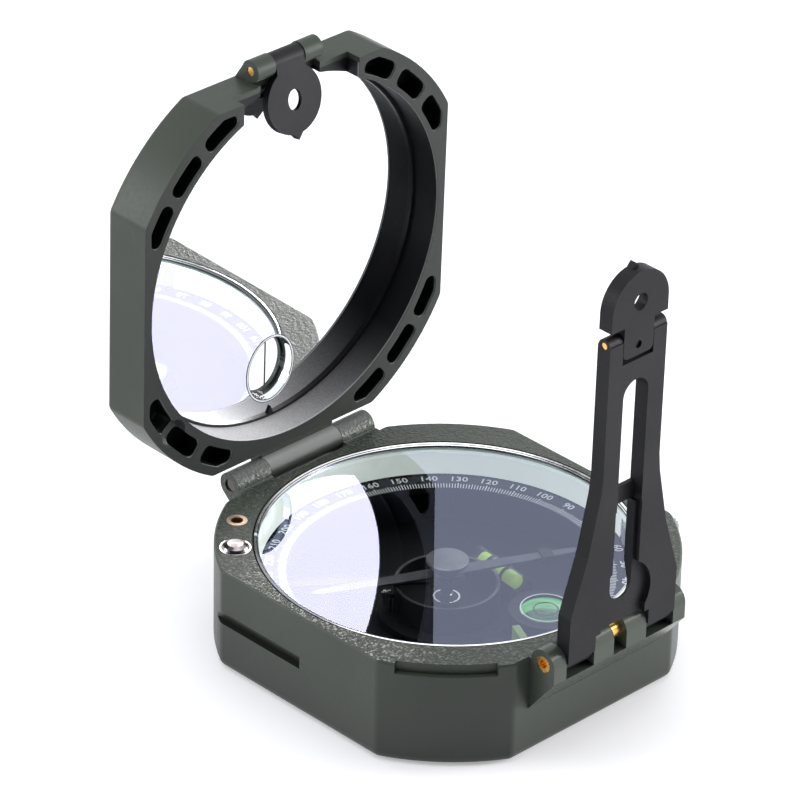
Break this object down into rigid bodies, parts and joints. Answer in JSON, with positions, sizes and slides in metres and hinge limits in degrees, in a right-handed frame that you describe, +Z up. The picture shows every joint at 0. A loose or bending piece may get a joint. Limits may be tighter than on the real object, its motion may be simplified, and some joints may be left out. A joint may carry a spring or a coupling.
{
  "type": "sighting compass",
  "caption": "Sighting compass with a turning degree ring, clinometer levels, a hinged mirror lid with a window, and a folding long sight with a peep.",
  "frame": {"origin": "centre of the case's flat underside, under the needle pivot", "axes": "+Z up out of the case, +Y towards the lid hinge, -Y towards the long sight, +X to the thumbwheel side"},
  "size_m": [0.0722, 0.0896, 0.097],
  "materials": {
    "olive": "satin",
    "black": "satin",
    "mint": "matte",
    "pale_rubber": "matte",
    "glass": "polished",
    "steel": "polished",
    "brass": "polished",
    "copper": "satin",
    "blackened_brass": "satin",
    "blackened_steel": "satin",
    "dull_steel": "satin",
    "black_plastic": "matte",
    "grey_plastic": "satin",
    "jewel": "polished",
    "spirit": "clear",
    "mint_green": "matte",
    "mirror": "polished"
  },
  "bodies": {
    "case": {"base_case": "olive", "dial_plate": "black", "ring_support": "black", "pale_liner_ring": "mint", "glass_gasket": "pale_rubber", "cover_glass": "glass", "glass_snap_ring": "steel", "brass_insert": "brass", "long_sight_pin": "brass", "lid_hinge_pin": "steel", "thumbwheel_axle": "steel", "lift_pin_bush": "steel", "lift_pin_spring": "steel", "lifter_bracket": "blackened_steel", "lifter_axle": "steel"},
    "ring": {"degree_ring": "black_plastic"},
    "wheel": {"thumbwheel": "grey_plastic"},
    "needle": {"needle_blade": "blackened_steel", "needle_hub": "dull_steel", "needle_jewel": "jewel", "needle_counterweight": "blackened_brass"},
    "lift_button": {"lift_pin": "steel"},
    "lifter": {"needle_lifter": "blackened_steel"},
    "clinometer": {"clinometer_arm": "black", "tube_level_cradle": "black", "tube_level_vial": "glass", "tube_level_spirit": "spirit", "round_level_cup": "black", "round_level_spirit": "spirit", "round_level_glass": "glass", "clinometer_index": "mint_green", "damping_cup": "copper", "clinometer_shaft": "blackened_brass", "needle_pivot": "steel", "clinometer_washer": "steel", "stop_screw": "steel", "clinometer_lever": "brass"},
    "lid": {"lid_shell": "olive", "lid_mirror": "mirror", "mirror_keeper_ring": "steel", "window_glass": "glass", "small_sight_pin": "brass"},
    "lid_sight": {"small_sight": "black"},
    "long_sight": {"long_sight_arm": "black", "peep_pin": "brass"},
    "peep": {"peep_sight": "black"}
  },
  "joints": [
    {"name": "lid_hinge", "type": "hinge", "parent": "case", "child": "lid", "pos_m": [0, 0.0384, 0.0192], "axis": [-1, 0, 0], "range_deg": [-89, 45]},
    {"name": "lid_sight_hinge", "type": "hinge", "parent": "lid", "child": "lid_sight", "pos_m": [0, 0.04218, 0.09503], "axis": [-1, 0, 0], "range_deg": [-11, 169]},
    {"name": "long_sight_hinge", "type": "hinge", "parent": "case", "child": "long_sight", "pos_m": [0, -0.038, 0.0193], "axis": [1, 0, 0], "range_deg": [-90.65, 89.35]},
    {"name": "peep_hinge", "type": "hinge", "parent": "long_sight", "child": "peep", "pos_m": [0, -0.04015, 0.07668], "axis": [-1, 0, 0], "range_deg": [0, 90]},
    {"name": "ring_turn", "type": "hinge", "parent": "case", "child": "ring", "pos_m": [0, 0, 0.0129], "axis": [0, 0, 1], "continuous": true},
    {"name": "thumbwheel_turn", "type": "hinge", "parent": "case", "child": "wheel", "pos_m": [0.03235, -0.0168, 0.015], "axis": [0, 0, 1], "continuous": true},
    {"name": "needle_swing", "type": "hinge", "parent": "case", "child": "needle", "pos_m": [0, 0, 0.0132], "axis": [0, 0, 1], "continuous": true},
    {"name": "clinometer_turn", "type": "hinge", "parent": "case", "child": "clinometer", "pos_m": [0, 0, 0.0057], "axis": [0, 0, 1], "range_deg": [-60, 60]},
    {"name": "lift_pin_press", "type": "slide", "parent": "case", "child": "lift_button", "axis": [0, 0, -1], "range_m": [0, 0.0008], "stiffness_N_per_m": 400, "deforming": ["lift_pin_spring"]},
    {"name": "lifter_rock", "type": "hinge", "parent": "case", "child": "lifter", "pos_m": [-0.01399, 0.01133, 0.0109], "axis": [-0.6293, -0.7771, 0], "range_deg": [0, 2.6]}
  ],
  "couplings": [
    {"joint": "thumbwheel_turn", "follows": "ring_turn", "ratio": -7.2727},
    {"joint": "lifter_rock", "follows": "lift_pin_press", "rad_per_m": 54.945}
  ]
}
